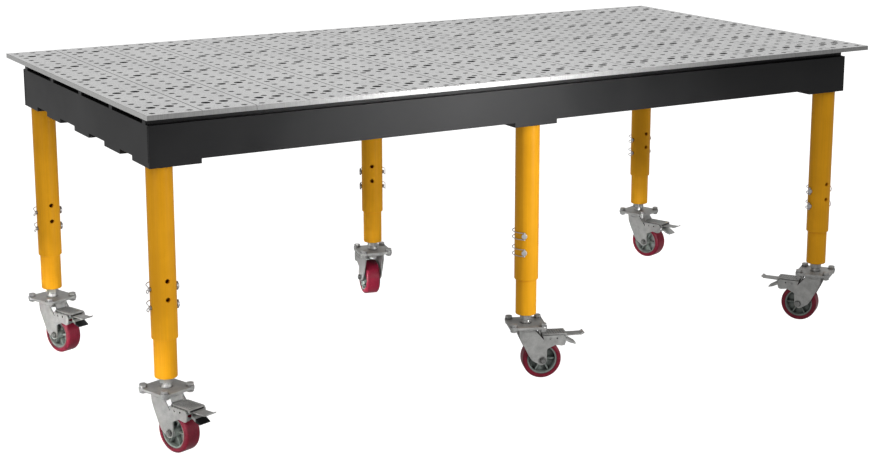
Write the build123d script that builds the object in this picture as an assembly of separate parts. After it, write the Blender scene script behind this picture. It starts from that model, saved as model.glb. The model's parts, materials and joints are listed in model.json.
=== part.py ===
from build123d import *
import os

# Welding table: a perforated top of separate plates on a welded frame, six telescoping
# legs with cross pins, and six braked swivel casters. Origin on the floor under the
# middle of the top, +X along the length, +Y to the back, +Z up. Millimetres.

# Top
TOP_Z = 920.0
PLATE_T = 13.0
PLATE_PITCH = 150.0
PLATE_SEAM = 0.6
PLATE_LENGTH = 1200.0
PLATES = 16
GRID = 50.0
GRID_HOLE_R = 8.0
GRID_CHAMFER = 0.8
SCREW_ROWS = (-500.0, -250.0, 0.0, 250.0, 500.0)
SCREW_COLUMNS = (-25.0, 25.0)
COUNTERBORE_R = 12.5
COUNTERBORE_DEPTH = 9.0
SCREW_CLEARANCE_R = 5.5
SCREW_R = 5.0
SCREW_HEAD_R = 9.0
SCREW_HEAD_H = 6.0
SCREW_HEAD_CHAMFER = 1.5
SCREW_LENGTH = 28.0
SOCKET_R = 4.6
SOCKET_DEPTH = 3.0

# Frame
PLATE_BOTTOM = TOP_Z - PLATE_T
APRON_X = 1170.0
APRON_Y = 530.0
APRON_T = 6.0
APRON_TOP = 880.0
APRON_SHALLOW = 781.0
APRON_DEEP = 768.0
BAR_W = 24.0
BEAM_W = 124.0
BEAM_T = 5.0
POCKET_X = 143.0
POCKET_Y = 127.0
POCKET_T = 6.0
TIE_Z = (800.0, 866.0)
TIE_X = (-1030.0, -600.0, -68.5, 68.5, 600.0, 1030.0)
TIE_T = 6.0
WELD_GAP = 0.2
THREAD_FIT = 0.2

# Legs
LEG_X = 1128.0
LEG_Y = 485.0
OUTER_R = 35.4
OUTER_BORE_R = 31.4
OUTER_Z = (303.0, 866.0)
OUTER_RIM_R = 2.0
LEG_FIT = 0.1
INNER_R = 30.8
INNER_BORE_R = 26.8
INNER_Z = (195.4, 765.0)
INNER_RIM_R = 3.0
PLUG_T = 12.0
PLUG_TAP = 1.0
PIN_Z = (389.0, 439.0)
CROSS_HOLE_Z = (413.5, 463.5)
PIN_PITCH = 50.0
PIN_ROWS = 8
PIN_R = 6.0
PIN_HOLE_R = 6.5
PIN_TAIL_X = -41.0
HEAD_X = (36.0, 43.0)
HEAD_R = 8.0
PIN_EDGE = 1.5
HINGE_X = 40.0
WIRE_R = 1.2
BAIL_Z = 9.8
BAIL_R = 42.0
EYE_R = 2.6
EYE_HALF = 1.6

# Caster: u runs from the stem axis the way the wheel trails, v across it, z up from the floor
WHEEL_R = 58.0
WHEEL_W = 48.0
TREAD_SHOULDER_R = 7.0
TRAIL = 46.0
TREAD_BORE_R = 45.0
HUB_W = 44.0
HUB_BARREL_R = 14.0
HUB_BARREL_W = 56.0
HUB_RIM_T = 5.0
HUB_WEB_T = 8.0
HUB_BORE_R = 6.4
RIBS = 6
RIB_T = 4.0
RIB_INSET = 6.0
RIB_ROOT = 2.0
AXLE_R = 6.0
AXLE_NUT_R = 9.0
AXLE_NUT_H = 6.5
AXLE_TAIL = 3.0
AXLE_FIT = 0.2
CHEEK_IN = 29.5
CHEEK_T = 4.0
CROWN_Z = (150.0, 155.5)
CROWN_U = (-25.0, 20.0)
CROWN_R = 38.0
KINGPIN_R = 8.0
KINGPIN_FIT = 0.4
KINGPIN_HEAD_R = 13.0
KINGPIN_HEAD_Z = (141.0, 149.0)
RACE_R = 34.0
RACE_GAP = 0.5
MOUNT_PLATE_Z = 160.0
MOUNT_PLATE_T = 3.5
ADAPTER_T = 4.0
BOLT_PITCH = 87.0
BOLT_CORNER_R = 12.0
BOLT_R = 5.0
BOLT_FIT = 0.2
BOLT_HEAD_H = 9.5
BOLT_TAIL = 2.0
BOLT_EDGE = 0.5
NUT_R = 10.5
NUT_H = 7.5
STEM_R = 12.0
STEM_TOP = 225.4
COLLAR_R = 15.0
COLLAR_H = 11.0
JAM_NUT_R = 18.0
JAM_NUT_H = 16.0

# Yoke side in (u, z): the leading edge, the lobe round the axle, and the brake bracket
LEADING_EDGE = [(-25, 155.5), (-23.5, 132), (-14, 110), (5, 72), (14, 58.5), (32, 47.5)]
LOBE_LOW = (45, 43.5)
LOBE_END = (57.8, 56)
BRACKET_EDGE = [(59, 92), (84, 104), (104, 101), (112, 103), (115, 111), (115, 126),
                (109, 133), (46, 133), (50.5, 119), (27, 146), (20, 155.5)]
CROWN_LIP = [(18, 155.5), (33, 155.5), (37, 152), (45, 130), (42, 129), (33, 150), (18, 150)]
CROWN_LIP_V = 18.0
BRACKET_HOLE = (89, 124.5)
BRACKET_HOLE_R = 2.4
SPACER = (104, 106)
SPACER_R = 3.0

# Brake pedal, pivoting between the cheeks, with its sides in (u, z)
PIVOT_U = 68.0
PIVOT_Z = 124.5
PIVOT_R = 3.0
PIVOT_FIT = 0.3
PIVOT_INSET = 1.0
PEDAL_HALF = 27.0
PEDAL_FLANGE_T = 3.0
DECK_U = (46.0, 119.0)
DECK_Z = (133.0, 136.5)
DECK_EDGE_R = 3.0
DECK_LIP_U = (46.0, 49.5)
DECK_LIP_Z = 128.0
PEDAL_SIDE = [(60, 134), (60, 118), (80, 114), (106, 121), (119, 125.5), (119, 134)]
SHOE_U = (84.0, 94.0)
SHOE_Z = (112.0, 116.5)
TIE_BAR_U = (112.0, 119.0)
TIE_BAR_Z = (125.5, 129.0)
TONGUE = [(112, 129), (166, 129.5), (174, 134.5), (175.5, 132.5), (167, 127), (112, 125.5)]
TONGUE_HALF = 17.0
HANGER = [(112, 126), (112, 112), (116, 112), (117, 126)]
HANGER_HALF = 14.0
LEVER = [(116.4, 118), (116.4, 111.5), (134, 102.5), (148, 99), (149.5, 101.5), (137, 109),
         (124, 117)]
LEVER_HALF = 18.0

# Leg name: side in X, side in Y, way the caster trails, way the pin heads point,
# and the side that the wire bails pass (1 is anticlockwise from the heads)
LEGS = {
    "front_left": (-1, -1, -70.5, 0.0, 1),
    "front_middle": (0, -1, -22.0, 228.0, -1),
    "front_right": (1, -1, 126.0, 180.0, -1),
    "back_left": (-1, 1, -70.0, 0.0, 1),
    "back_middle": (0, 1, 78.0, 152.0, -1),
    "back_right": (1, 1, -70.0, 0.0, 1),
}


def box(x, y, z):
    """A block from three (low, high) pairs."""
    size = [high - low for low, high in (x, y, z)]
    middle = [(low + high) / 2 for low, high in (x, y, z)]
    return Pos(*middle) * Box(*size)


def rod(radius, low, high, x=0.0, y=0.0):
    """An upright cylinder between two heights."""
    return Pos(x, y, (low + high) / 2) * Cylinder(radius, high - low)


def hexagon(radius, low, high, x=0.0, y=0.0):
    """An upright hexagonal prism with a small edge break."""
    blank = Pos(x, y, low) * extrude(RegularPolygon(radius, 6), high - low)
    break_cone = Pos(x, y, (low + high) / 2) * Cylinder(radius * 0.97, high - low)
    return blank & break_cone


def outline(points, low, high):
    """A plate with an outline in X and Z, between two values of Y."""
    face = make_face(Polyline(*points, close=True))
    plate = extrude(Plane.XZ * face, low - high)
    return Pos(0, low, 0) * plate


def lay(shape, height=0.0):
    """Turns an upright shape so that its axis runs along Y at a height."""
    return Pos(0, 0, height) * Rot(90, 0, 0) * shape


def solids_of(parts):
    """The separate solids of a list of shapes."""
    found = []
    for part in parts:
        found += list(part.solids())
    return found


def save(name, parts):
    """Writes one node."""
    export_step(Compound(solids_of(parts)), os.path.join("parts", name + ".step"))


# ---- top ----

def work_plate():
    """One perforated plate, centred on X and Y, with its top at TOP_Z."""
    half = (PLATE_PITCH - PLATE_SEAM) / 2
    plate = box((-half, half), (-PLATE_LENGTH / 2, PLATE_LENGTH / 2), (PLATE_BOTTOM, TOP_Z))
    columns = round(PLATE_PITCH / GRID)
    rows = round(PLATE_LENGTH / GRID)
    drill = Cylinder(GRID_HOLE_R, 2 * PLATE_T)
    holes = [place * drill for place in GridLocations(GRID, GRID, columns, rows)]
    plate -= [Pos(0, 0, TOP_Z) * hole for hole in holes]
    rims = plate.edges().filter_by(GeomType.CIRCLE).group_by(Axis.Z)
    plate = chamfer(rims[-1], GRID_CHAMFER)
    seats = []
    for x in SCREW_COLUMNS:
        for y in SCREW_ROWS:
            seats.append(rod(COUNTERBORE_R, TOP_Z - COUNTERBORE_DEPTH, TOP_Z + 1, x, y))
            seats.append(rod(SCREW_CLEARANCE_R, PLATE_BOTTOM - 1, TOP_Z, x, y))
    return plate - seats


def plate_middles():
    """X of the middle of each plate."""
    return [(i - (PLATES - 1) / 2) * PLATE_PITCH for i in range(PLATES)]


def plate_screw():
    """A button-head socket screw, standing in its counterbore."""
    seat = TOP_Z - COUNTERBORE_DEPTH
    head = rod(SCREW_HEAD_R, seat, seat + SCREW_HEAD_H)
    head = chamfer(head.edges().group_by(Axis.Z)[-1], SCREW_HEAD_CHAMFER)
    head -= hexagon(SOCKET_R, seat + SCREW_HEAD_H - SOCKET_DEPTH, seat + SCREW_HEAD_H + 1)
    return head + rod(SCREW_R, seat - SCREW_LENGTH, seat)


def screw_places():
    """X and Y of every plate screw."""
    return [(x + c, y) for x in plate_middles() for c in SCREW_COLUMNS for y in SCREW_ROWS]


# ---- frame ----

def screw_holes(y):
    """The tapped holes along one beam."""
    low = PLATE_BOTTOM - SCREW_LENGTH
    return [rod(SCREW_R + THREAD_FIT, low, TOP_Z, x, y) for x, row in screw_places() if row == y]


def inner_beam(y):
    """A bar on a folded channel, between the end aprons."""
    ends = (-APRON_X + APRON_T + WELD_GAP, APRON_X - APRON_T - WELD_GAP)
    half = BEAM_W / 2
    channel = box(ends, (y - half, y + half), (APRON_DEEP, APRON_TOP))
    hollow = (y - half + BEAM_T, y + half - BEAM_T)
    channel -= box((ends[0] - 1, ends[1] + 1), hollow, (APRON_DEEP - 1, APRON_TOP - BEAM_T))
    bar = box(ends, (y - BAR_W / 2, y + BAR_W / 2), (APRON_TOP, PLATE_BOTTOM))
    return (channel + bar) - screw_holes(y)


def outer_beam(side):
    """A bar on a folded angle, beside a side apron. side is -1 at the front."""
    ends = (-APRON_X + APRON_T + WELD_GAP, APRON_X - APRON_T - WELD_GAP)
    y = side * SCREW_ROWS[-1]
    outer = APRON_Y - APRON_T - WELD_GAP
    inner = APRON_Y - POCKET_Y
    flange = box(ends, sorted((side * inner, side * outer)), (APRON_TOP - APRON_T, APRON_TOP))
    web_y = sorted((side * inner, side * (inner + APRON_T)))
    web = box(ends, web_y, (APRON_SHALLOW, APRON_TOP - APRON_T))
    bar = box(ends, (y - BAR_W / 2, y + BAR_W / 2), (APRON_TOP, PLATE_BOTTOM))
    return (flange + web + bar) - screw_holes(y)


def side_apron(side):
    """A long cut plate, deeper at each leg."""
    points = [(-APRON_X, APRON_TOP)]
    middle, end = POCKET_X / 2, APRON_X - POCKET_X
    points += [(-APRON_X, APRON_DEEP), (-end, APRON_DEEP), (-end, APRON_SHALLOW)]
    points += [(-middle, APRON_SHALLOW), (-middle, APRON_DEEP)]
    points += [(middle, APRON_DEEP), (middle, APRON_SHALLOW)]
    points += [(end, APRON_SHALLOW), (end, APRON_DEEP), (APRON_X, APRON_DEEP)]
    points.append((APRON_X, APRON_TOP))
    face = sorted((side * APRON_Y, side * (APRON_Y - APRON_T)))
    return outline(points, *face)


def end_apron(side):
    """A short cut plate with a tab under the plates and a deep foot at each beam."""
    inner = APRON_Y - APRON_T - WELD_GAP
    x = sorted((side * APRON_X, side * (APRON_X - APRON_T)))
    plate = box(x, (-inner, inner), (APRON_SHALLOW, APRON_TOP))
    for y in SCREW_ROWS:
        plate += box(x, (y - BAR_W / 2, y + BAR_W / 2), (APRON_TOP, PLATE_BOTTOM))
    for y in SCREW_ROWS[1:-1]:
        plate += box(x, (y - BEAM_W / 2, y + BEAM_W / 2), (APRON_DEEP, APRON_SHALLOW))
    for end in (-1, 1):
        foot = sorted((end * inner, end * (APRON_Y - POCKET_Y)))
        plate += box(x, foot, (APRON_DEEP, APRON_SHALLOW))
    return plate


def leg_pocket(x_side, y_side):
    """The welded pocket that holds the top of one leg, inside the aprons."""
    if x_side:
        outer = APRON_X - APRON_T - WELD_GAP
        x = sorted((x_side * outer, x_side * (APRON_X - POCKET_X)))
        walls = [x_side * (APRON_X - POCKET_X + POCKET_T / 2)]
    else:
        x = [-POCKET_X / 2, POCKET_X / 2]
        walls = [x[0] + POCKET_T / 2, x[1] - POCKET_T / 2]
    outer_y = y_side * (APRON_Y - APRON_T - WELD_GAP)
    y = sorted((outer_y, y_side * (APRON_Y - POCKET_Y)))
    inside_web = sorted((outer_y, y_side * (APRON_Y - POCKET_Y + APRON_T + WELD_GAP)))
    foot = (APRON_DEEP, APRON_DEEP + POCKET_T)
    roof = (OUTER_Z[1] - POCKET_T, OUTER_Z[1])
    pocket = box(x, y, foot) + box(x, inside_web, roof)
    for wall in walls:
        wall_x = (wall - POCKET_T / 2, wall + POCKET_T / 2)
        pocket += box(wall_x, inside_web, (foot[0], roof[1]))
    return pocket - rod(OUTER_R + LEG_FIT, 0, TOP_Z, x_side * LEG_X, y_side * LEG_Y)


def tie_plates():
    """Upright plates across the gaps between the beams."""
    edges = [-APRON_Y + POCKET_Y]
    for y in SCREW_ROWS[1:-1]:
        edges += [y - BEAM_W / 2, y + BEAM_W / 2]
    edges.append(APRON_Y - POCKET_Y)
    ties = []
    for x in TIE_X:
        for low, high in zip(edges[0::2], edges[1::2]):
            tie_x = (x - TIE_T / 2, x + TIE_T / 2)
            ties.append(box(tie_x, (low + WELD_GAP, high - WELD_GAP), TIE_Z))
    return ties


# ---- legs ----

def cross_bores(heights, radius, turn):
    """Bores across a leg at several heights, on an axis turned about the leg."""
    drill = Rot(0, 90, 0) * Cylinder(radius, 4 * OUTER_R)
    return [Pos(0, 0, z) * Rot(0, 0, turn) * drill for z in heights]


def outer_leg(turn):
    """The fixed tube, with two pairs of pin bores on each of two axes."""
    tube = rod(OUTER_R, *OUTER_Z)
    tube = fillet(tube.edges().group_by(Axis.Z)[0], OUTER_RIM_R)
    tube -= rod(OUTER_BORE_R, OUTER_Z[0] - 1, OUTER_Z[1] + 1)
    tube -= cross_bores(PIN_Z, PIN_HOLE_R, turn)
    return tube - cross_bores(CROSS_HOLE_Z, PIN_HOLE_R, turn + 90)


def inner_leg(turn):
    """The sliding tube with its rows of bores and a welded plug that takes the stem."""
    tube = rod(INNER_R, *INNER_Z)
    tube = fillet(tube.edges().group_by(Axis.Z)[0], INNER_RIM_R)
    plug_top = INNER_Z[0] + PLUG_T
    tube -= rod(INNER_BORE_R, plug_top, INNER_Z[1] + 1)
    tube -= rod(STEM_R, INNER_Z[0] - 1, plug_top + PLUG_TAP)
    along = [PIN_Z[0] + i * PIN_PITCH for i in range(PIN_ROWS)]
    across = [CROSS_HOLE_Z[0] + i * PIN_PITCH for i in range(PIN_ROWS - 1)]
    tube -= cross_bores(along, PIN_HOLE_R, turn)
    return tube - cross_bores(across, PIN_HOLE_R, turn + 90)


def lock_pin(z):
    """A cross pin with a drilled head, its head towards +X."""
    lie = Pos(0, 0, z) * Rot(0, 90, 0)
    shank = lie * rod(PIN_R, PIN_TAIL_X, HEAD_X[0])
    shank = chamfer(shank.faces().sort_by(Axis.X)[0].edges(), PIN_EDGE)
    head = lie * rod(HEAD_R, *HEAD_X)
    head = fillet(head.faces().sort_by(Axis.X)[-1].edges(), PIN_EDGE)
    return shank + head


def bail_wire(z, side):
    """The wire bail: two bows round the leg, joined by a loop past the pin's tail."""
    centre = HINGE_X - BAIL_R
    low_bow = CenterArc((centre, 0, z - BAIL_Z), BAIL_R, 0, side * 180)
    loop_plane = Plane((centre - BAIL_R, 0, z), x_dir=(0, -side, 0), z_dir=(1, 0, 0))
    if side > 0:
        loop = loop_plane * CenterArc((0, 0), BAIL_Z, -90, 180)
    else:
        loop = loop_plane * CenterArc((0, 0), BAIL_Z, 90, -180)
    high_bow = CenterArc((centre, 0, z + BAIL_Z), BAIL_R, side * 180, -side * 180)
    path = Wire([low_bow, loop, high_bow])
    # The seam of the wire is turned off the level, clear of the eyes
    section = Plane(path @ 0, x_dir=(1, 0, 1), z_dir=path % 0) * Circle(WIRE_R)
    bail = sweep(section, path=path)
    for end in (low_bow @ 0, high_bow @ 1):
        bail += Pos(*end) * Cylinder(EYE_R, 2 * EYE_HALF)
    return bail


# ---- casters ----

def bolt_places(shape):
    """A shape at each of the four bolts."""
    return [place * shape for place in GridLocations(BOLT_PITCH, BOLT_PITCH, 2, 2)]


def square_plate(low, high):
    """A square plate with a rounded corner round each bolt."""
    side = BOLT_PITCH + 2 * BOLT_CORNER_R
    plate = Pos(0, 0, low) * extrude(RectangleRounded(side, side, BOLT_CORNER_R), high - low)
    return plate - bolt_places(rod(BOLT_R + BOLT_FIT, low - 1, high + 1))


def caster_mount():
    """Stem with adapter plate, jam nut, caster top plate with kingpin, bolts and nuts."""
    top = MOUNT_PLATE_Z + MOUNT_PLATE_T
    adapter_top = top + ADAPTER_T
    stem = square_plate(top, adapter_top) + rod(STEM_R, adapter_top, STEM_TOP)
    stem += rod(COLLAR_R, adapter_top, adapter_top + COLLAR_H)
    jam_nut = hexagon(JAM_NUT_R, INNER_Z[0] - JAM_NUT_H, INNER_Z[0])
    jam_nut -= rod(STEM_R, 0, TOP_Z)
    plate = square_plate(MOUNT_PLATE_Z, top)
    plate += rod(RACE_R, CROWN_Z[1] + RACE_GAP, MOUNT_PLATE_Z)
    plate += rod(KINGPIN_R, KINGPIN_HEAD_Z[0], MOUNT_PLATE_Z)
    plate += rod(KINGPIN_HEAD_R, *KINGPIN_HEAD_Z)
    shank = rod(BOLT_R, MOUNT_PLATE_Z - NUT_H - BOLT_TAIL, adapter_top)
    head = hexagon(NUT_R, adapter_top, adapter_top + BOLT_HEAD_H)
    head = chamfer(head.edges().filter_by(GeomType.CIRCLE).group_by(Axis.Z)[-1], BOLT_EDGE)
    nut = hexagon(NUT_R, MOUNT_PLATE_Z - NUT_H, MOUNT_PLATE_Z) - rod(BOLT_R, 0, TOP_Z)
    bolts = bolt_places(head + shank) + bolt_places(nut)
    return [stem, jam_nut, plate] + bolts


def cross_pin(radius, half, place):
    """A round bar across the caster, at a place in u and z."""
    return Pos(place[0], 0, place[1]) * lay(Cylinder(radius, 2 * half))


def cheek_face():
    """The side plate of the yoke with its brake bracket, in u and z."""
    with BuildSketch(Plane.XZ) as sketch:
        with BuildLine():
            Polyline(*LEADING_EDGE)
            ThreePointArc(LEADING_EDGE[-1], LOBE_LOW, LOBE_END)
            Polyline(LOBE_END, *BRACKET_EDGE)
            Line(BRACKET_EDGE[-1], LEADING_EDGE[0])
        make_face()
        with Locations((TRAIL, WHEEL_R)):
            Circle(AXLE_R + AXLE_FIT, mode=Mode.SUBTRACT)
        with Locations((PIVOT_U, PIVOT_Z)):
            Circle(PIVOT_R + PIVOT_FIT, mode=Mode.SUBTRACT)
        with Locations(BRACKET_HOLE):
            Circle(BRACKET_HOLE_R, mode=Mode.SUBTRACT)
    return sketch.sketch


def yoke():
    """Crown with its turned-down lip, two cheeks, and the spacer of the brake bracket."""
    low, high = CROWN_Z
    outer = CHEEK_IN + CHEEK_T
    body = box(CROWN_U, (-outer, outer), (low, high)) + rod(CROWN_R, low, high)
    for v in (-outer, CHEEK_IN):
        body += Pos(0, v, 0) * extrude(cheek_face(), -CHEEK_T)
    body += outline(CROWN_LIP, -CROWN_LIP_V, CROWN_LIP_V)
    body += cross_pin(SPACER_R, CHEEK_IN, SPACER)
    return body - rod(KINGPIN_R + KINGPIN_FIT, low - 1, high + 1)


def axle():
    """Axle bolt with its head and nut outside the cheeks."""
    face = CHEEK_IN + CHEEK_T
    bolt = rod(AXLE_R, -face, face + AXLE_NUT_H + AXLE_TAIL)
    bolt += hexagon(AXLE_NUT_R, -face - AXLE_NUT_H, -face)
    nut = hexagon(AXLE_NUT_R, face, face + AXLE_NUT_H) - rod(AXLE_R, 0, 2 * face)
    return [Pos(TRAIL, 0, 0) * lay(shape, WHEEL_R) for shape in (bolt, nut)]


def hub():
    """Wheel centre: barrel, web, ribs and rim."""
    rim = rod(TREAD_BORE_R, -HUB_W / 2, HUB_W / 2)
    rim -= rod(TREAD_BORE_R - HUB_RIM_T, -HUB_W, HUB_W)
    body = rim + rod(TREAD_BORE_R - 1, -HUB_WEB_T / 2, HUB_WEB_T / 2)
    body += rod(HUB_BARREL_R, -HUB_BARREL_W / 2, HUB_BARREL_W / 2)
    reach = (HUB_BARREL_R - RIB_ROOT, TREAD_BORE_R - RIB_ROOT)
    rib_half = HUB_W / 2 - RIB_INSET
    for i in range(RIBS):
        rib = box(reach, (-RIB_T / 2, RIB_T / 2), (-rib_half, rib_half))
        body += Rot(0, 0, i * 360 / RIBS) * rib
    body -= rod(HUB_BORE_R, -HUB_BARREL_W, HUB_BARREL_W)
    return Pos(TRAIL, 0, 0) * lay(body, WHEEL_R)


def tread():
    """Cast polyurethane tyre with rounded shoulders."""
    ring = rod(WHEEL_R, -WHEEL_W / 2, WHEEL_W / 2)
    ring = fillet(ring.edges().filter_by(GeomType.CIRCLE), TREAD_SHOULDER_R)
    ring -= rod(TREAD_BORE_R, -WHEEL_W, WHEEL_W)
    return Pos(TRAIL, 0, 0) * lay(ring, WHEEL_R)


def brake_pedal():
    """Channel pedal with shoe and tongue on its pivot pin, and the release lever."""
    across = (-PEDAL_HALF, PEDAL_HALF)
    deck = box(DECK_U, across, DECK_Z)
    deck = fillet(deck.edges().filter_by(Axis.X).group_by(Axis.Z)[-1], DECK_EDGE_R)
    side = outline(PEDAL_SIDE, -PEDAL_HALF, -PEDAL_HALF + PEDAL_FLANGE_T)
    body = deck + side + Pos(0, 2 * PEDAL_HALF - PEDAL_FLANGE_T, 0) * side
    body += box(DECK_LIP_U, across, (DECK_LIP_Z, DECK_Z[0]))
    body += box(SHOE_U, across, SHOE_Z) + box(TIE_BAR_U, across, TIE_BAR_Z)
    body += outline(TONGUE, -TONGUE_HALF, TONGUE_HALF)
    body += outline(HANGER, -HANGER_HALF, HANGER_HALF)
    body += cross_pin(PIVOT_R, CHEEK_IN + CHEEK_T - PIVOT_INSET, (PIVOT_U, PIVOT_Z))
    return [body, outline(LEVER, -LEVER_HALF, LEVER_HALF)]


# ---- build ----

def save_table():
    """The top, the frame and the fixed leg tubes."""
    plate = work_plate()
    save("top_plates", [Pos(x, 0, 0) * plate for x in plate_middles()])
    screw = plate_screw()
    save("plate_screws", [Pos(x, y, 0) * screw for x, y in screw_places()])
    beams = [inner_beam(y) for y in SCREW_ROWS[1:-1]]
    save("long_beams", beams + [outer_beam(-1), outer_beam(1)])
    save("aprons", [side_apron(-1), side_apron(1), end_apron(-1), end_apron(1)])
    pockets = [leg_pocket(x, y) for x in (-1, 0, 1) for y in (-1, 1)]
    save("cross_members", pockets + tie_plates())
    tubes = []
    for x, y, _, heads, _ in LEGS.values():
        tubes.append(Pos(x * LEG_X, y * LEG_Y, 0) * outer_leg(heads))
    save("outer_legs", tubes)


def save_legs():
    """What moves at each leg, modelled once and set in its place."""
    caster = {
        "caster_mount": caster_mount(),
        "yoke": [yoke()],
        "axle": axle(),
        "hub": [hub()],
        "tread": [tread()],
        "brake_pedal": brake_pedal(),
    }
    for leg, (x, y, trail, heads, bail_side) in LEGS.items():
        place = Pos(x * LEG_X, y * LEG_Y, 0)
        save("inner_leg_" + leg, [place * inner_leg(heads)])
        for piece, shapes in caster.items():
            turned = [place * Rot(0, 0, trail) * shape for shape in shapes]
            save(piece + "_" + leg, turned)
        to_heads = place * Rot(0, 0, heads)
        save("lock_pins_" + leg, [to_heads * lock_pin(z) for z in PIN_Z])
        save("pin_bails_" + leg, [to_heads * bail_wire(z, bail_side) for z in PIN_Z])


os.makedirs("parts", exist_ok=True)
save_table()
save_legs()
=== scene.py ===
import json
import math

import bmesh
import bpy
from mathutils import Matrix, Vector


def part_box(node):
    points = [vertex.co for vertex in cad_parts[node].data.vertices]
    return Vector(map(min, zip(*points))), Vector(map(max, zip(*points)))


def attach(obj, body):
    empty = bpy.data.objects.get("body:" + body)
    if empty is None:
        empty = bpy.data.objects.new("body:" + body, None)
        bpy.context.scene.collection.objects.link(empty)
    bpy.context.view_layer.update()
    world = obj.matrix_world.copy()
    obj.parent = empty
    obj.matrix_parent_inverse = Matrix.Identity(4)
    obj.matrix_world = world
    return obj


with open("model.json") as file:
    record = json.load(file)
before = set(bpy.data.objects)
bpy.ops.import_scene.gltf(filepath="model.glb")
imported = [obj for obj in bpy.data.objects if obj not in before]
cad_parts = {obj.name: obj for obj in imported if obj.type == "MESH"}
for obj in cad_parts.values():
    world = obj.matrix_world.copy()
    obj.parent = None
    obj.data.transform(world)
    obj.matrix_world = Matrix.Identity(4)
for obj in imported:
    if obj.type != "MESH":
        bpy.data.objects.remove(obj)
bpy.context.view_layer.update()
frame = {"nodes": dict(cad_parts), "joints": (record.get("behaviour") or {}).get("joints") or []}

JOINTS = {joint["name"]: joint for joint in frame["joints"]}
LEGS = ("front_left", "front_middle", "front_right", "back_left", "back_middle", "back_right")

# ---- camera: the photograph's viewing angle, on an 876 x 461 frame ----
SENSOR_MM = 36.0
LENS_MM = 71.543
CAMERA_AT = Vector((-2.6889, -4.6385, 1.7144))
AZIMUTH = math.radians(-30.06)
ELEVATION = math.radians(12.11)
SHIFT = (-0.0050, -0.0787)
CLIP = (0.05, 200.0)


def make_camera():
    data = bpy.data.cameras.new("camera")
    data.lens = LENS_MM
    data.sensor_width = SENSOR_MM
    data.shift_x, data.shift_y = SHIFT
    data.clip_start, data.clip_end = CLIP
    camera = bpy.data.objects.new("camera", data)
    bpy.context.scene.collection.objects.link(camera)
    camera.location = CAMERA_AT
    back = Vector((math.sin(AZIMUTH) * math.cos(ELEVATION),
                   -math.cos(AZIMUTH) * math.cos(ELEVATION), math.sin(ELEVATION)))
    camera.rotation_mode = "QUATERNION"
    camera.rotation_quaternion = (-back).to_track_quat("-Z", "Y")
    bpy.context.scene.camera = camera


# ---- node helpers ----
# A Mix node's A and B sockets and its output, by what it mixes
MIX_SOCKETS = {"FLOAT": (2, 3, 0), "RGBA": (6, 7, 2)}
# Bands of a noise's value, whose middle is 0.5
NARROW = (0.35, 0.65)
BROAD = (0.3, 0.7)
# The upward part of a face's normal, from a wall to a top
FACE_UP = (0.5, 0.9)
# Samples of the ambient occlusion that places painted shade in corners and gaps
PAINTED_SHADE_SAMPLES = 8


def put(tree, socket, value):
    """Link a socket to another, or set it to a number, a vector or an RGB tone."""
    if isinstance(value, bpy.types.NodeSocket):
        tree.links.new(value, socket)
    elif socket.type == "RGBA":
        socket.default_value = value + (1.0,)
    else:
        socket.default_value = value


def split_xyz(tree, vector):
    split = tree.nodes.new("ShaderNodeSeparateXYZ")
    put(tree, split.inputs[0], vector)
    return split.outputs


def map_range(tree, value, band, low, high):
    """low before the band, high after it, and even steps between."""
    made = tree.nodes.new("ShaderNodeMapRange")
    made.clamp = True
    put(tree, made.inputs["Value"], value)
    for name, number in zip(("From Min", "From Max", "To Min", "To Max"), (*band, low, high)):
        made.inputs[name].default_value = number
    return made.outputs[0]


def mix(tree, kind, factor, a, b):
    """a where factor is 0 and b where it is 1."""
    socket_a, socket_b, result = MIX_SOCKETS[kind]
    made = tree.nodes.new("ShaderNodeMix")
    made.data_type = kind
    put(tree, made.inputs["Factor"], factor)
    put(tree, made.inputs[socket_a], a)
    put(tree, made.inputs[socket_b], b)
    return made.outputs[result]


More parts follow.
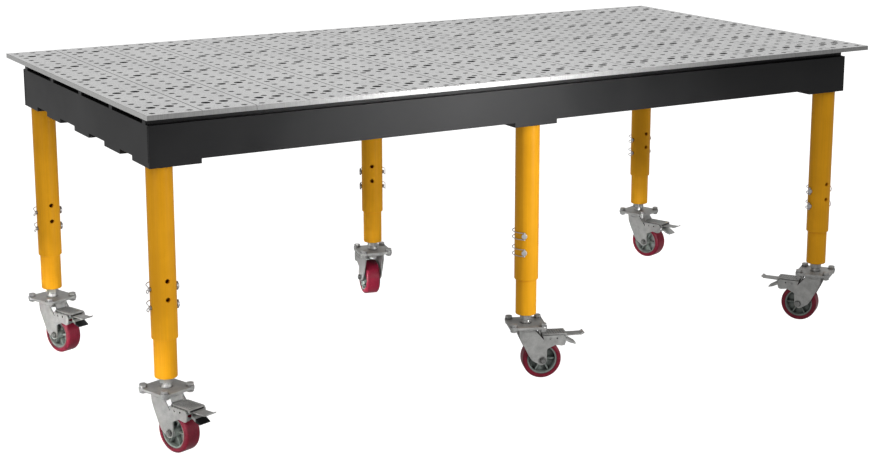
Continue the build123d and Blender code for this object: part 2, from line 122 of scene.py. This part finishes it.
class Nodes:
    """A material's node tree with short calls for the nodes used here."""

    def __init__(self, name):
        self.material = bpy.data.materials.new(name)
        self.material.use_nodes = True
        self.tree = self.material.node_tree
        self.place = self.tree.nodes.new("ShaderNodeTexCoord").outputs["Object"]

    def put(self, socket, value):
        put(self.tree, socket, value)

    def noise(self, scale, detail=3.0, rough=0.55, stretch=None):
        """Noise with scale grains to the metre, and stretch as the same for X, Y and Z."""
        place = self.place
        if stretch:
            mapping = self.tree.nodes.new("ShaderNodeMapping")
            self.put(mapping.inputs["Vector"], place)
            mapping.inputs["Scale"].default_value = stretch
            place = mapping.outputs[0]
        made = self.tree.nodes.new("ShaderNodeTexNoise")
        self.put(made.inputs["Vector"], place)
        made.inputs["Scale"].default_value = scale
        made.inputs["Detail"].default_value = detail
        made.inputs["Roughness"].default_value = rough
        return made.outputs["Fac"]

    def ramp(self, value, band, low=0.0, high=1.0):
        return map_range(self.tree, value, band, low, high)

    def number(self, factor, a, b):
        return mix(self.tree, "FLOAT", factor, a, b)

    def tone(self, factor, a, b):
        return mix(self.tree, "RGBA", factor, a, b)

    def mottle(self, noise, band, a, b, most=1.0):
        """Colour a, which turns to b as the noise goes through the band. most is b's share."""
        return self.tone(self.ramp(noise, band, high=most), a, b)

    def bump(self, height, distance, strength):
        made = self.tree.nodes.new("ShaderNodeBump")
        made.inputs["Strength"].default_value = strength
        made.inputs["Distance"].default_value = distance
        self.put(made.inputs["Height"], height)
        return made.outputs[0]

    def calc(self, operation, a, b):
        made = self.tree.nodes.new("ShaderNodeMath")
        made.operation = operation
        self.put(made.inputs[0], a)
        self.put(made.inputs[1], b)
        return made.outputs[0]

    def facing_up(self):
        """1 on faces that look straight up, 0 on upright ones."""
        geometry = self.tree.nodes.new("ShaderNodeNewGeometry")
        return self.ramp(split_xyz(self.tree, geometry.outputs["True Normal"])["Z"], FACE_UP)

    def past(self, axis, start, width):
        """0 up to start and 1 beyond the step's width, along an axis through the origin."""
        dot = self.tree.nodes.new("ShaderNodeVectorMath")
        dot.operation = "DOT_PRODUCT"
        self.put(dot.inputs[0], self.place)
        dot.inputs[1].default_value = axis
        return self.ramp(dot.outputs["Value"], (start, start + width))

    def from_multiple(self, pitch, band):
        """0 close to each multiple of pitch along X, 1 further away than the band."""
        x = split_xyz(self.tree, self.place)["X"]
        return self.ramp(self.calc("PINGPONG", x, pitch / 2), band)

    def painted_shade_mask(self, reach, band):
        """0 deep in a corner or in a gap narrower than reach, 1 out in the open: where painted
        shade goes.
        """
        made = self.tree.nodes.new("ShaderNodeAmbientOcclusion")
        made.samples = PAINTED_SHADE_SAMPLES
        made.inputs["Distance"].default_value = reach
        return self.ramp(made.outputs["AO"], band)

    def finish(self, colour, roughness, normal, metallic=0.0, specular=0.5):
        inputs = self.tree.nodes["Principled BSDF"].inputs
        self.put(inputs["Base Color"], colour)
        self.put(inputs["Roughness"], roughness)
        self.put(inputs["Metallic"], metallic)
        self.put(inputs["Normal"], normal)
        inputs["Specular IOR Level"].default_value = specular
        return self.material


# ---- materials ----
# Tones are linear RGB. A pair of them is a surface's darker and lighter patches.
def grey(tone):
    return (tone, tone, tone)


PLATE_TONES = (grey(0.84), (0.95, 0.95, 0.945))
GRINDING_TONE = grey(0.58)
STAIN_TONE = grey(0.45)
# White specks painted on the top as glints
SPECK_GLINT_TONE = grey(1.0)
# Painted shade along the seams between the plates, in place of their chamfers and gap
SEAM_PAINTED_SHADE_TONE = grey(0.20)
SAWN_TONES = (grey(0.31), (0.45, 0.45, 0.445))
# Cutter scale on the walls of the bores and seams, made darker as painted shade inside them
BORE_SCALE_AND_SHADE_TONE = (0.045, 0.045, 0.046)
MILL_TONE = (0.74, 0.74, 0.73)
# Grains to the metre along X, Y and Z
GRINDING_GRAIN = (900.0, 14.0, 900.0)
SAWN_GRAIN = (700.0, 700.0, 30.0)
GROUND_ROUGHNESS = (0.36, 0.50)
BORE_ROUGHNESS = 0.5
SAWN_ROUGHNESS = 0.30
PLATE_METALLIC = 0.35
SAWN_METALLIC = 0.65
# The plates meet at multiples of the pitch
PLATE_PITCH = 0.150
SEAM_BAND = (0.0013, 0.0019)
OUTER_EDGE = 0.002
OUTER_EDGE_STEP = 0.0005


def at_outer_edge(n, axis):
    """1 on the outer edges of the top at both ends of an axis, 0 further in."""
    low, high = (Vector(corner).dot(axis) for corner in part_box("top_plates"))
    return n.calc("MAXIMUM", n.past(-axis, -low - OUTER_EDGE, OUTER_EDGE_STEP),
                  n.past(axis, high - OUTER_EDGE, OUTER_EDGE_STEP))


def plate_steel():
    """Ground steel plate: faint grinding lines and stains on top, with white specks painted on as
    glints.

    Its long edges are sawn and its end edges are mill finish. The walls of the bores keep the
    black scale of the cutter, darkened further with painted shade inside the bores, and a dark
    line along the seams between the plates is painted shade in place of their chamfers and gap.
    """
    n = Nodes("plate_steel")
    lines = n.noise(scale=1.0, detail=4.0, rough=0.65, stretch=GRINDING_GRAIN)
    clouds = n.noise(scale=7.0, detail=4.0, rough=0.6)
    stains = n.noise(scale=190.0, rough=0.6)
    specks = n.noise(scale=620.0, detail=2.0, rough=0.5)
    saw_marks = n.noise(scale=1.0, rough=0.6, stretch=SAWN_GRAIN)
    up = n.facing_up()
    ends = at_outer_edge(n, Vector((1, 0, 0)))
    sides = at_outer_edge(n, Vector((0, 1, 0)))

    top = n.mottle(clouds, NARROW, *PLATE_TONES)
    top = n.mottle(lines, (0.3, 0.8), top, GRINDING_TONE, most=0.5)
    top = n.mottle(stains, (0.50, 0.66), top, STAIN_TONE, most=0.75)
    # Painted glints: pure white specks
    top = n.mottle(specks, (0.52, 0.68), top, SPECK_GLINT_TONE, most=0.8)
    # Painted shade: a dark line along each seam
    top = n.tone(n.from_multiple(PLATE_PITCH, SEAM_BAND), SEAM_PAINTED_SHADE_TONE, top)
    # Bore and seam walls: cutter scale, darkened further as painted shade
    wall = n.tone(sides, BORE_SCALE_AND_SHADE_TONE, n.mottle(saw_marks, BROAD, *SAWN_TONES))
    wall = n.tone(ends, wall, MILL_TONE)

    wall_roughness = n.number(sides, BORE_ROUGHNESS, SAWN_ROUGHNESS)
    wall_metallic = n.number(sides, PLATE_METALLIC, SAWN_METALLIC)
    return n.finish(n.tone(up, wall, top),
                    n.number(up, wall_roughness, n.ramp(lines, BROAD, *GROUND_ROUGHNESS)),
                    n.bump(lines, distance=0.00004, strength=0.4),
                    metallic=n.number(up, wall_metallic, PLATE_METALLIC))


SCREW_TONES = ((0.035, 0.035, 0.037), grey(0.10))


def screw_steel():
    """Black oxide on the hold-down screws, with grime in patches."""
    n = Nodes("screw_steel")
    grime = n.noise(scale=300.0)
    return n.finish(n.mottle(grime, (0.4, 0.65), *SCREW_TONES),
                    n.ramp(grime, BROAD, low=0.35, high=0.6),
                    n.bump(grime, distance=0.0001, strength=0.3), metallic=0.6)


FRAME_TONES = ((0.014, 0.014, 0.015), (0.020, 0.020, 0.021))


def frame_black():
    """Black powder coat: clouds of tone and gloss under a fine orange peel."""
    n = Nodes("frame_black")
    peel = n.noise(scale=420.0, detail=2.0)
    clouds = n.noise(scale=4.0)
    return n.finish(n.mottle(clouds, NARROW, *FRAME_TONES),
                    n.ramp(clouds, NARROW, low=0.30, high=0.38),
                    n.bump(peel, distance=0.00008, strength=0.35), specular=0.25)


LEG_TONES = ((0.86, 0.385, 0.008), (0.96, 0.440, 0.010))
LEG_DRAWN_TONE = (0.74, 0.325, 0.008)
LEG_DRAWN_GRAIN = (260.0, 260.0, 5.0)


def leg_yellow():
    """Amber enamel on tube, with faint drawn lines and a mottled gloss."""
    n = Nodes("leg_yellow")
    clouds = n.noise(scale=9.0)
    drawn = n.noise(scale=1.0, rough=0.5, stretch=LEG_DRAWN_GRAIN)
    peel = n.noise(scale=380.0, detail=2.0)
    colour = n.mottle(clouds, NARROW, *LEG_TONES)
    colour = n.mottle(drawn, (0.35, 0.7), colour, LEG_DRAWN_TONE, most=0.35)
    return n.finish(colour, n.ramp(clouds, NARROW, low=0.38, high=0.48),
                    n.bump(peel, distance=0.00008, strength=0.3), specular=0.15)


# Tones and metallic for the pressed parts, for the pins and fittings and for the axle bolts
ZINC = (((0.37, 0.37, 0.36), (0.50, 0.50, 0.487)), 0.55)
PIN_ZINC = (((0.60, 0.60, 0.61), (0.78, 0.78, 0.79)), 0.6)
AXLE_ZINC = (((0.20, 0.20, 0.195), (0.30, 0.30, 0.29)), 0.7)
ZINC_GRAIN_TONE = (0.72, 0.72, 0.70)
# Painted shade for the corners and narrow gaps of the zinc parts
ZINC_PAINTED_SHADE_TONE = (0.06, 0.06, 0.058)
# The release lever of a brake is what lies beyond this u and below this height
LEVER_U, LEVER_Z = 0.1310, 0.1185
LEVER_STEP = 0.0004
# Near-black painted shade on the release levers of the left casters, which are the same zinc as
# the others
LEVER_PAINTED_SHADE_TONE = (0.012, 0.012, 0.013)
SHADED_LEVERS = ("front_left", "back_left")


def on_lever(n, leg):
    """1 on the release lever of a leg's brake, 0 elsewhere."""
    stem = Vector(JOINTS["swivel_" + leg]["pos_m"])
    trail = Vector(JOINTS["roll_" + leg]["pos_m"]) - stem
    trail.z = 0
    trail.normalize()
    beyond = n.past(trail, trail.dot(stem) + LEVER_U, LEVER_STEP)
    below = n.past((0, 0, -1), -LEVER_Z, LEVER_STEP)
    return n.calc("MULTIPLY", beyond, below)


def zinc(name, tones, metallic, lever_of=None):
    """Zinc plate over pressed steel: soft spangle, brighter grain, and painted shade that darkens
    its corners and narrow gaps.

    lever_of names the leg whose release lever is painted near-black as shade.
    """
    n = Nodes(name)
    clouds = n.noise(scale=45.0, detail=4.0, rough=0.6)
    grain = n.noise(scale=500.0)
    colour = n.mottle(clouds, NARROW, *tones)
    colour = n.mottle(grain, (0.5, 0.75), colour, ZINC_GRAIN_TONE, most=0.35)
    # Painted shade: near-black deep in corners and narrow gaps
    colour = n.tone(n.painted_shade_mask(reach=0.007, band=(0.5, 0.95)), ZINC_PAINTED_SHADE_TONE, colour)
    # Painted shade: the release lever turned near-black
    if lever_of:
        colour = n.tone(on_lever(n, lever_of), colour, LEVER_PAINTED_SHADE_TONE)
    return n.finish(colour, n.ramp(clouds, BROAD, low=0.30, high=0.46),
                    n.bump(grain, distance=0.00008, strength=0.35), metallic=metallic)


HUB_TONES = ((0.16, 0.185, 0.17), (0.25, 0.28, 0.26))
# Painted shade for the corners and narrow gaps of the hub
HUB_PAINTED_SHADE_TONE = (0.02, 0.024, 0.022)


def hub_grey():
    """Grey-green enamel on a rough casting, with painted shade darkening its corners and narrow
    gaps.
    """
    n = Nodes("hub_grey")
    sand = n.noise(scale=420.0, detail=4.0, rough=0.65)
    clouds = n.noise(scale=60.0)
    colour = n.mottle(clouds, NARROW, *HUB_TONES)
    # Painted shade: near-black deep in corners and narrow gaps
    colour = n.tone(n.painted_shade_mask(reach=0.012, band=(0.35, 0.85)), HUB_PAINTED_SHADE_TONE, colour)
    return n.finish(colour, n.ramp(sand, BROAD, low=0.42, high=0.6),
                    n.bump(sand, distance=0.0002, strength=0.4))


TREAD_TONES = ((0.15, 0.005, 0.018), (0.22, 0.007, 0.027))
TREAD_MARK_TONE = (0.34, 0.06, 0.08)


def tread_red():
    """Cast polyurethane: deep red, softly glossy, with paler rolling marks."""
    n = Nodes("tread_red")
    clouds = n.noise(scale=35.0, detail=4.0, rough=0.6)
    marks = n.noise(scale=200.0)
    colour = n.mottle(clouds, NARROW, *TREAD_TONES)
    colour = n.mottle(marks, (0.55, 0.75), colour, TREAD_MARK_TONE, most=0.25)
    return n.finish(colour, n.ramp(clouds, BROAD, low=0.30, high=0.44),
                    n.bump(marks, distance=0.0001, strength=0.25), specular=0.3)


def dress(obj, material):
    obj.data.materials.clear()
    obj.data.materials.append(material)
    for polygon in obj.data.polygons:
        polygon.material_index = 0


def dress_cad(black, plated, fittings):
    """A material for every CAD node."""
    yellow = leg_yellow()
    by_node = {"top_plates": plate_steel(), "plate_screws": screw_steel(), "long_beams": black,
               "aprons": black, "cross_members": black, "outer_legs": yellow}
    by_piece = {"inner_leg": yellow, "caster_mount": plated, "yoke": plated,
                "axle": zinc("axle_zinc", *AXLE_ZINC), "hub": hub_grey(), "tread": tread_red(),
                "brake_pedal": plated, "lock_pins": fittings, "pin_bails": fittings}
    for leg in LEGS:
        for piece, material in by_piece.items():
            by_node[f"{piece}_{leg}"] = material
    for leg in SHADED_LEVERS:
        by_node["brake_pedal_" + leg] = zinc("zinc_" + leg, *ZINC, lever_of=leg)
    for name, material in by_node.items():
        dress(frame["nodes"][name], material)


# ---- mesh helpers ----
SMOOTH_ANGLE = math.radians(40)
# A run that leans less than this counts as upright
LEANING = 0.01
# The slope of a nut's chamfer, and the degrees from one of its sections to the next
NUT_CHAMFER = 0.6
NUT_STEP = 10


def new_piece(name, vertices, faces, body, material, slot):
    """A mesh object that rides on a body. Its vertices are already in place."""
    mesh = bpy.data.meshes.new(name)
    mesh.from_pydata(vertices, [], faces)
    editor = bmesh.new()
    editor.from_mesh(mesh)
    bmesh.ops.recalc_face_normals(editor, faces=editor.faces)
    editor.to_mesh(mesh)
    editor.free()
    mesh.materials.append(material)
    for polygon in mesh.polygons:
        polygon.use_smooth = True
    mesh.set_sharp_from_angle(angle=SMOOTH_ANGLE)
    piece = bpy.data.objects.new(name, mesh)
    bpy.context.scene.collection.objects.link(piece)
    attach(piece, body)


def loft(sections, closed):
    """Vertices and faces of a skin over closed sections with as many points each.

    closed joins the last section to the first, and otherwise both ends get a cap.
    """
    count, sides = len(sections), len(sections[0])
    vertices = [point for section in sections for point in section]
    faces = []
    for i in range(count if closed else count - 1):
        a, b = i * sides, (i + 1) % count * sides
        for k in range(sides):
            m = (k + 1) % sides
            faces.append((a + k, a + m, b + m, b + k))
    if not closed:
        faces.append(tuple(range(sides - 1, -1, -1)))
        faces.append(tuple(range((count - 1) * sides, count * sides)))
    return vertices, faces


def turned(profile, segments):
    """A closed profile of (radius, height) turned about Z, as vertices and faces."""
    sections = []
    for i in range(segments):
        a = 2 * math.pi * i / segments
        sections.append([Vector((r * math.cos(a), r * math.sin(a), h)) for r, h in profile])
    return loft(sections, True)


def tube(points, radii, sides, closed=False):
    """A tube along points, with a radius at each one, as vertices and faces."""
    count = len(points)
    sections = []
    for i, point in enumerate(points):
        before = points[i - 1] if closed or i else point
        after = points[(i + 1) % count] if closed or i < count - 1 else point
        along = (after - before).normalized()
        side = along.cross(Vector((0, 0, 1)))
        side = side.normalized() if side.length > LEANING else Vector((1, 0, 0))
        other = along.cross(side)
        ring = []
        for k in range(sides):
            a = 2 * math.pi * k / sides
            ring.append(point + radii[i] * (math.cos(a) * side + math.sin(a) * other))
        sections.append(ring)
    return loft(sections, closed)


def joined(parts):
    """Several (vertices, faces) as one."""
    vertices, faces = [], []
    for more, skins in parts:
        start = len(vertices)
        vertices += more
        faces += [tuple(start + k for k in skin) for skin in skins]
    return vertices, faces


def moved(part, matrix):
    return [matrix @ v for v in part[0]], part[1]


def hex_nut(radius, low, high, bore):
    """A hexagonal nut with chamfered corners round a bore, about Z."""
    flat = radius * math.cos(math.radians(30))
    drop = (radius - flat) * NUT_CHAMFER
    loops = [(bore, low, False), (flat, low, False), (radius, low + drop, True),
             (radius, high - drop, True), (flat, high, False), (bore, high, False)]
    sections = []
    for degrees in range(0, 360, NUT_STEP):
        a = math.radians(degrees)
        hexed = flat / math.cos((a % math.radians(60)) - math.radians(30))
        ring = []
        for r, h, corner in loops:
            reach = hexed if corner else min(r, hexed)
            ring.append(Vector((reach * math.cos(a), reach * math.sin(a), h)))
        sections.append(ring)
    return loft(sections, True)


# ---- detail pieces ----
# Metres. At a caster, u runs along the trail, v across it and z up, from the swivel's axis and
# the ground. A profile is a closed run of (radius, height).
RACE_COVER = [(0.0380, 0.1534), (0.0388, 0.1542), (0.0390, 0.1580), (0.0383, 0.1591),
              (0.0352, 0.1593), (0.0350, 0.1585), (0.0374, 0.1581), (0.0376, 0.1556)]
RACE_COVER_SIDES = 64
KINGPIN_NUT = {"radius": 0.0125, "low": 0.1335, "high": 0.1412, "bore": 0.004}
BOLT_OFFSET = 0.0435
WASHER_BORE_R, WASHER_R = 0.0055, 0.0116
WASHER_T = 0.0014
WASHER_CHAMFER = 0.0003
WASHER_SIDES = 32
UPPER_WASHER_Z, LOWER_WASHER_Z = 0.1675, 0.1600
SPACER_U, SPACER_Z = 0.104, 0.106
SPRING_R, SPRING_WIRE_R = 0.0040, 0.0008
SPRING_V = (0.0160, 0.0285)
SPRING_TURNS, SPRING_STEPS = 7, 14
SPRING_WIRE_SIDES = 8
DECK_TOP = 0.1365
RIB_COUNT, RIB_FIRST_U, RIB_PITCH = 8, 0.0590, 0.0075
RIB_HALF_LENGTH, RIB_HALF_WIDTH = 0.0200, 0.0016
RIB_HEIGHT, RIB_SUNK = 0.0014, 0.0003
# How far in from a rib's end, and the share of its full section there
RIB_ENDS = ((0.0, 0.4), (0.0008, 0.8), (0.0020, 1.0))
RIB_ARC_STEPS = 10
AXLE_U, AXLE_Z = 0.046, 0.058
DUST_RING = [(0.0068, 0.0280), (0.0118, 0.0280), (0.0128, 0.0284), (0.0126, 0.0290),
             (0.0075, 0.0291)]
DUST_RING_SIDES = 40
POCKET_UNDERSIDE = 0.768
LEG_TUBE_R = 0.0354
LEG_BEAD_R, LEG_BEAD_STEPS = 0.0026, 220
CORNER_BEAD_R, CORNER_BEAD_STEPS = 0.0013, 96
APRON_CORNER = (1.1698, 0.5239)
APRON_BEAD_Z = (0.783, 0.879)
# A bead's radius as a share of its nominal one: a ripple over a few steps on a base, and slow
# wanders, each with a size, an angle per step and a multiple of the bead's seed
RIPPLE_STEPS = 4
RIPPLE_BASE, RIPPLE_SIZE = 0.86, 0.22
WANDERS = ((0.12, 0.37, 1), (0.08, 0.91, 2))
BEAD_SIDES = 10


def caster_place(leg):
    """From the caster's own frame, u along the trail, v across and z up, to the world."""
    stem = Vector(JOINTS["swivel_" + leg]["pos_m"])
    trail = Vector(JOINTS["roll_" + leg]["pos_m"]) - stem
    return (Matrix.Translation((stem.x, stem.y, 0))
            @ Matrix.Rotation(math.atan2(trail.y, trail.x), 4, "Z"))


def washers():
    """Washers under the heads and the nuts of the four mounting bolts."""
    face_r = WASHER_R - WASHER_CHAMFER
    ring = turned([(WASHER_BORE_R, 0), (face_r, 0), (WASHER_R, WASHER_CHAMFER),
                   (WASHER_R, WASHER_T - WASHER_CHAMFER), (face_r, WASHER_T),
                   (WASHER_BORE_R, WASHER_T)], WASHER_SIDES)
    return joined([moved(ring, Matrix.Translation((u, v, z)))
                   for u in (-BOLT_OFFSET, BOLT_OFFSET) for v in (-BOLT_OFFSET, BOLT_OFFSET)
                   for z in (UPPER_WASHER_Z, LOWER_WASHER_Z - WASHER_T)])


def brake_springs():
    """Two coil springs round the spacer of the brake bracket."""
    parts = []
    steps = SPRING_TURNS * SPRING_STEPS
    for side in (-1, 1):
        path = []
        for i in range(steps + 1):
            a = 2 * math.pi * i / SPRING_STEPS
            v = SPRING_V[0] + (SPRING_V[1] - SPRING_V[0]) * i / steps
            path.append(Vector((SPACER_U + SPRING_R * math.cos(a), side * v,
                                SPACER_Z + SPRING_R * math.sin(a))))
        parts.append(tube(path, [SPRING_WIRE_R] * len(path), SPRING_WIRE_SIDES))
    return joined(parts)


def pedal_ribs():
    """Pressed ribs across the foot plate of the brake pedal."""
    stations = [(-RIB_HALF_LENGTH + inset, size) for inset, size in RIB_ENDS]
    stations += [(RIB_HALF_LENGTH - inset, size) for inset, size in reversed(RIB_ENDS)]
    parts = []
    for index in range(RIB_COUNT):
        u = RIB_FIRST_U + RIB_PITCH * index
        sections = []
        for v, size in stations:
            ring = []
            for i in range(RIB_ARC_STEPS + 1):
                a = math.pi * i / RIB_ARC_STEPS
                lift = (RIB_HEIGHT * size + RIB_SUNK) * math.sin(a) - RIB_SUNK
                ring.append(Vector((u + RIB_HALF_WIDTH * size * math.cos(a), v, DECK_TOP + lift)))
            sections.append(ring)
        parts.append(loft(sections, False))
    return joined(parts)


def dust_rings():
    """A stepped ring on each end of the wheel's barrel."""
    ring = turned(DUST_RING, DUST_RING_SIDES)
    place = Matrix.Translation((AXLE_U, 0, AXLE_Z))
    return joined([moved(ring, place @ Matrix.Rotation(math.radians(turn), 4, "X"))
                   for turn in (90, -90)])


def bead(points, closed, seed, radius):
    """A weld bead: a low rope of overlapping ripples."""
    radii = []
    for i in range(len(points)):
        ripple = 0.5 + 0.5 * math.cos(2 * math.pi * i / RIPPLE_STEPS)
        wander = sum(size * math.sin(turn * i + times * seed) for size, turn, times in WANDERS)
        radii.append(radius * (RIPPLE_BASE + RIPPLE_SIZE * ripple + wander))
    return tube(points, radii, BEAD_SIDES, closed)


def leg_bead(leg, seed):
    """The weld bead round the top of an outer leg, under its pocket."""
    x, y, _ = JOINTS["swivel_" + leg]["pos_m"]
    points = []
    for i in range(LEG_BEAD_STEPS):
        a = 2 * math.pi * i / LEG_BEAD_STEPS
        points.append(Vector((x + LEG_TUBE_R * math.cos(a), y + LEG_TUBE_R * math.sin(a),
                              POCKET_UNDERSIDE)))
    return bead(points, True, seed, LEG_BEAD_R)


def corner_beads():
    """Upright weld beads where the aprons meet at the four corners."""
    parts = []
    low, high = APRON_BEAD_Z
    for seed, (side_x, side_y) in enumerate(((-1, -1), (-1, 1), (1, -1), (1, 1))):
        x, y = side_x * APRON_CORNER[0], side_y * APRON_CORNER[1]
        points = [Vector((x, y, low + (high - low) * i / CORNER_BEAD_STEPS))
                  for i in range(CORNER_BEAD_STEPS + 1)]
        parts.append(bead(points, False, seed, CORNER_BEAD_R))
    return joined(parts)


def make_details(plated, fittings, black):
    """Fittings too small for the CAD, each riding on its body."""
    cover, nut = turned(RACE_COVER, RACE_COVER_SIDES), hex_nut(**KINGPIN_NUT)
    discs, springs, rings, ribs = washers(), brake_springs(), dust_rings(), pedal_ribs()
    for index, leg in enumerate(LEGS):
        place = caster_place(leg)
        for name, part, body, material, slot in (
                ("race_cover", cover, "caster_", plated, "zinc"),
                ("kingpin_nut", nut, "leg_", fittings, "zinc"),
                ("washers", discs, "leg_", fittings, "zinc"),
                ("brake_springs", springs, "caster_", fittings, "zinc"),
                ("pedal_ribs", ribs, "pedal_", plated, "zinc"),
                ("dust_rings", rings, "wheel_", fittings, "zinc")):
            vertices, faces = moved(part, place)
            new_piece(f"{name}_{leg}", vertices, faces, body + leg, material, slot)
        new_piece("leg_weld_" + leg, *leg_bead(leg, index), "frame", black, "frame_black")
    new_piece("corner_welds", *corner_beads(), "frame", black, "frame_black")


# ---- edges of the CAD parts ----
EDGE_BREAKS = {"aprons": 0.0008, "cross_members": 0.0008, "yoke": 0.0011, "brake_pedal": 0.0009,
               "caster_mount": 0.0005, "hub": 0.0007, "axle": 0.0005}
BREAK_ANGLE = math.radians(38)
BREAK_SEGMENTS = 2
WELD_GAP = 0.00001


def break_edges():
    """Small rounds on the sharp edges of the CAD parts, so that they catch the light."""
    for name, width in EDGE_BREAKS.items():
        for node in ([name] if name in frame["nodes"] else [f"{name}_{leg}" for leg in LEGS]):
            part = frame["nodes"][node]
            weld = part.modifiers.new("weld", "WELD")
            weld.merge_threshold = WELD_GAP
            bevel = part.modifiers.new("edge_break", "BEVEL")
            bevel.width = width
            bevel.segments = BREAK_SEGMENTS
            bevel.limit_method = "ANGLE"
            bevel.angle_limit = BREAK_ANGLE
            bevel.harden_normals = True


# ---- stage ----
FLOOR_HALF = 60.0
# Under the casters even when the legs are drawn out to their full travel
FLOOR_Z = -0.32
FLOOR_TONE = (0.35, 0.35, 0.35, 1)
WHITE = (1, 1, 1, 1)
# Strengths of the floor and the sky: as the camera sees them, and as they light things
FLOOR_SEEN, FLOOR_LIGHT = 0.93, 0.15
SKY_SEEN, HORIZON_LIGHT, ZENITH_LIGHT = 1.0, 0.0, 0.93
# The upward part of a direction, from the horizon to where the sky is at its full strength
SKY_BAND = (0.0, 0.75)
# Name, place, aim, width and height, watts, and spread in degrees, where a small spread gathers
# the power into a beam. The low ones reach the casters, which stand in the top's shade.
LIGHTS = (
    ("key", (1.25, -3.3, 1.15), (-0.22, -0.53, 0.80), (0.5, 1.8), 5.6, 40),
    ("left", (-3.3, -1.9, 0.9), (-1.1, -0.3, 0.5), (1.2, 1.4), 11, 180),
    ("low left", (-4.0, -1.5, 0.35), (-1.13, -0.1, 0.06), (0.9, 0.3), 1.15, 8),
    ("low back left", (-3.9, -1.0, 0.3), (-1.13, 0.485, 0.05), (0.3, 0.3), 0.40, 8),
    ("low back middle", (-2.6, -0.1, 0.3), (0.0, 0.485, 0.0), (0.1, 0.1), 0.14, 6),
    ("low back right", (-0.6, -1.8, 0.3), (1.128, 0.485, 0.07), (0.3, 0.3), 0.2, 8),
)


def seen_or_lit(tree, seen, lit):
    """A backdrop's strength: seen where the camera looks at it, lit where it lights things."""
    path = tree.nodes.new("ShaderNodeLightPath")
    return mix(tree, "FLOAT", path.outputs["Is Camera Ray"], lit, seen)


def make_floor():
    mesh = bpy.data.meshes.new("floor")
    h = FLOOR_HALF
    corners = [(-h, -h, FLOOR_Z), (h, -h, FLOOR_Z), (h, h, FLOOR_Z), (-h, h, FLOOR_Z)]
    mesh.from_pydata(corners, [], [(0, 1, 2, 3)])
    floor = bpy.data.objects.new("floor", mesh)
    bpy.context.scene.collection.objects.link(floor)
    material = bpy.data.materials.new("floor")
    material.use_nodes = True
    tree = material.node_tree
    inputs = tree.nodes["Principled BSDF"].inputs
    inputs["Base Color"].default_value = FLOOR_TONE
    inputs["Roughness"].default_value = 1.0
    inputs["Specular IOR Level"].default_value = 0.0
    inputs["Emission Color"].default_value = WHITE
    put(tree, inputs["Emission Strength"], seen_or_lit(tree, FLOOR_SEEN, FLOOR_LIGHT))
    mesh.materials.append(material)


def make_sky():
    """A white backdrop whose light fades from overhead to the horizon."""
    world = bpy.data.worlds.new("studio")
    world.use_nodes = True
    tree = world.node_tree
    direction = tree.nodes.new("ShaderNodeTexCoord").outputs["Generated"]
    fade = map_range(tree, split_xyz(tree, direction)["Z"], SKY_BAND, HORIZON_LIGHT, ZENITH_LIGHT)
    background = tree.nodes["Background"].inputs
    background["Color"].default_value = WHITE
    put(tree, background["Strength"], seen_or_lit(tree, SKY_SEEN, fade))
    bpy.context.scene.world = world


def area_light(name, at, aim, size, watts, spread):
    data = bpy.data.lights.new(name, "AREA")
    data.shape = "RECTANGLE"
    data.size, data.size_y = size
    data.energy = watts
    data.spread = math.radians(spread)
    light = bpy.data.objects.new(name, data)
    bpy.context.scene.collection.objects.link(light)
    light.location = at
    light.rotation_mode = "QUATERNION"
    light.rotation_quaternion = (Vector(aim) - Vector(at)).to_track_quat("-Z", "Y")
    light.visible_camera = False


def make_stage():
    make_floor()
    make_sky()
    for light in LIGHTS:
        area_light(*light)
    view = bpy.context.scene.view_settings
    view.view_transform = "Standard"
    view.look = "None"


make_camera()
black_paint = frame_black()
plate_zinc, pin_zinc = zinc("zinc", *ZINC), zinc("pin_zinc", *PIN_ZINC)
dress_cad(black_paint, plate_zinc, pin_zinc)
break_edges()
make_details(plate_zinc, pin_zinc, black_paint)
make_stage()
